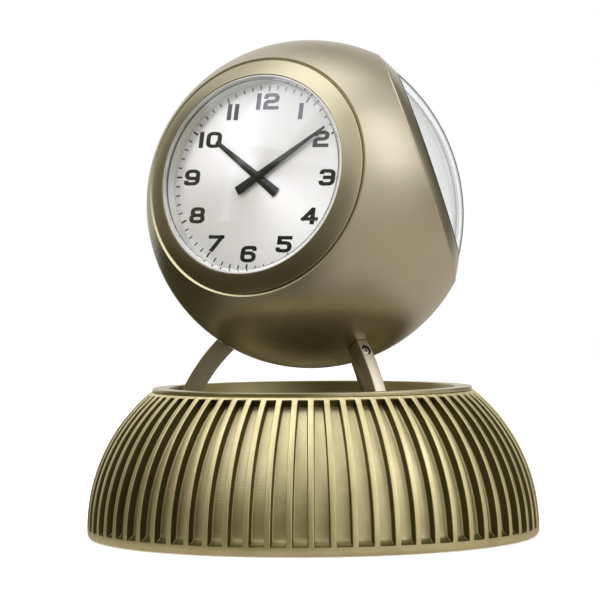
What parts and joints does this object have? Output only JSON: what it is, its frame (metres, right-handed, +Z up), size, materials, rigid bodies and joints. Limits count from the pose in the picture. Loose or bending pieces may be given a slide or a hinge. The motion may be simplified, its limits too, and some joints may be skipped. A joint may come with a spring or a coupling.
{
  "type": "table clock",
  "caption": "Hollow metal ball with tilted round quartz clock faces all round, on curved legs that rise from the bowl of a ribbed cast foot.",
  "frame": {"origin": "middle of the foot's resting face, on the table", "axes": "+Z up through the middle of the foot and the ball, -Y the way the first clock face looks"},
  "size_m": [0.2756, 0.2755, 0.302],
  "materials": {
    "cast_gold": "satin champagne gold over a fine cast texture",
    "turned_gold": "turned and satin, champagne gold",
    "satin_gold": "fine brushed champagne gold",
    "bezel_gold": "turned and satin, olive gold",
    "leg_bronze": "brushed bronze",
    "steel": "bright zinc",
    "brass": "turned",
    "glass": "polished, faint green edge",
    "rubber": "matt",
    "silver": "satin silver",
    "dial_silver": "fine satin silver, printed in black",
    "black_paint": "gloss black",
    "black_plastic": "fine moulded",
    "grey_plastic": "moulded",
    "battery_sleeve": "plain sleeve without text",
    "felt": "pressed felt"
  },
  "bodies": {
    "root": {"base_casting": "cast_gold", "bowl_dish": "turned_gold", "base_plate": "black_plastic", "felt_pad": "felt", "centre_bolt": "steel", "leg_1": "leg_bronze", "leg_2": "leg_bronze", "leg_3": "leg_bronze", "leg_foot_screw_1": "steel", "leg_foot_screw_2": "steel", "leg_foot_screw_3": "steel", "leg_bolt_1": "steel", "leg_bolt_2": "steel", "leg_bolt_3": "steel", "leg_set_screw_1": "steel", "leg_set_screw_2": "steel", "leg_set_screw_3": "steel", "ball_shell": "satin_gold"},
    "insert_1": {"bezel_1": "bezel_gold", "crystal_1": "glass", "gasket_1": "rubber", "rehaut_1": "silver", "dial_1": "dial_silver", "movement_holder_1": "black_plastic", "movement_case_1": "black_plastic", "back_cover_1": "steel", "battery_1": "battery_sleeve"},
    "hour_1": {"hour_pipe_1": "brass", "hour_hand_1": "black_paint"},
    "minute_1": {"setting_arbor_1": "grey_plastic", "minute_hand_1": "black_paint", "hand_cap_1": "black_paint"},
    "insert_2": {"bezel_2": "bezel_gold", "crystal_2": "glass", "gasket_2": "rubber", "rehaut_2": "silver", "dial_2": "dial_silver", "movement_holder_2": "black_plastic", "movement_case_2": "black_plastic", "back_cover_2": "steel", "battery_2": "battery_sleeve"},
    "hour_2": {"hour_pipe_2": "brass", "hour_hand_2": "black_paint"},
    "minute_2": {"setting_arbor_2": "grey_plastic", "minute_hand_2": "black_paint", "hand_cap_2": "black_paint"},
    "insert_3": {"bezel_3": "bezel_gold", "crystal_3": "glass", "gasket_3": "rubber", "rehaut_3": "silver", "dial_3": "dial_silver", "movement_holder_3": "black_plastic", "movement_case_3": "black_plastic", "back_cover_3": "steel", "battery_3": "battery_sleeve"},
    "hour_3": {"hour_pipe_3": "brass", "hour_hand_3": "black_paint"},
    "minute_3": {"setting_arbor_3": "grey_plastic", "minute_hand_3": "black_paint", "hand_cap_3": "black_paint"}
  },
  "joints": [
    {"name": "insert_1_pull", "type": "slide", "parent": "root", "child": "insert_1", "axis": [0.0066, -0.9746, 0.2237], "range_m": [0, 0.045]},
    {"name": "minute_1_turn", "type": "hinge", "parent": "insert_1", "child": "minute_1", "pos_m": [0, 0, 0.202], "axis": [-0.0066, 0.9746, -0.2237], "continuous": true},
    {"name": "hour_1_turn", "type": "hinge", "parent": "insert_1", "child": "hour_1", "pos_m": [0, 0, 0.202], "axis": [-0.0066, 0.9746, -0.2237], "continuous": true},
    {"name": "insert_2_pull", "type": "slide", "parent": "root", "child": "insert_2", "axis": [0.8342, 0.4532, 0.3143], "range_m": [0, 0.045]},
    {"name": "minute_2_turn", "type": "hinge", "parent": "insert_2", "child": "minute_2", "pos_m": [0, 0, 0.202], "axis": [-0.8342, -0.4532, -0.3143], "continuous": true},
    {"name": "hour_2_turn", "type": "hinge", "parent": "insert_2", "child": "hour_2", "pos_m": [0, 0, 0.202], "axis": [-0.8342, -0.4532, -0.3143], "continuous": true},
    {"name": "insert_3_pull", "type": "slide", "parent": "root", "child": "insert_3", "axis": [-0.8181, 0.4515, 0.3561], "range_m": [0, 0.045]},
    {"name": "minute_3_turn", "type": "hinge", "parent": "insert_3", "child": "minute_3", "pos_m": [0, 0, 0.202], "axis": [0.8181, -0.4515, -0.3561], "continuous": true},
    {"name": "hour_3_turn", "type": "hinge", "parent": "insert_3", "child": "hour_3", "pos_m": [0, 0, 0.202], "axis": [0.8181, -0.4515, -0.3561], "continuous": true}
  ],
  "couplings": [
    {"joint": "hour_1_turn", "follows": "minute_1_turn", "ratio": 0.083333},
    {"joint": "hour_2_turn", "follows": "minute_2_turn", "ratio": 0.083333},
    {"joint": "hour_3_turn", "follows": "minute_3_turn", "ratio": 0.083333}
  ]
}
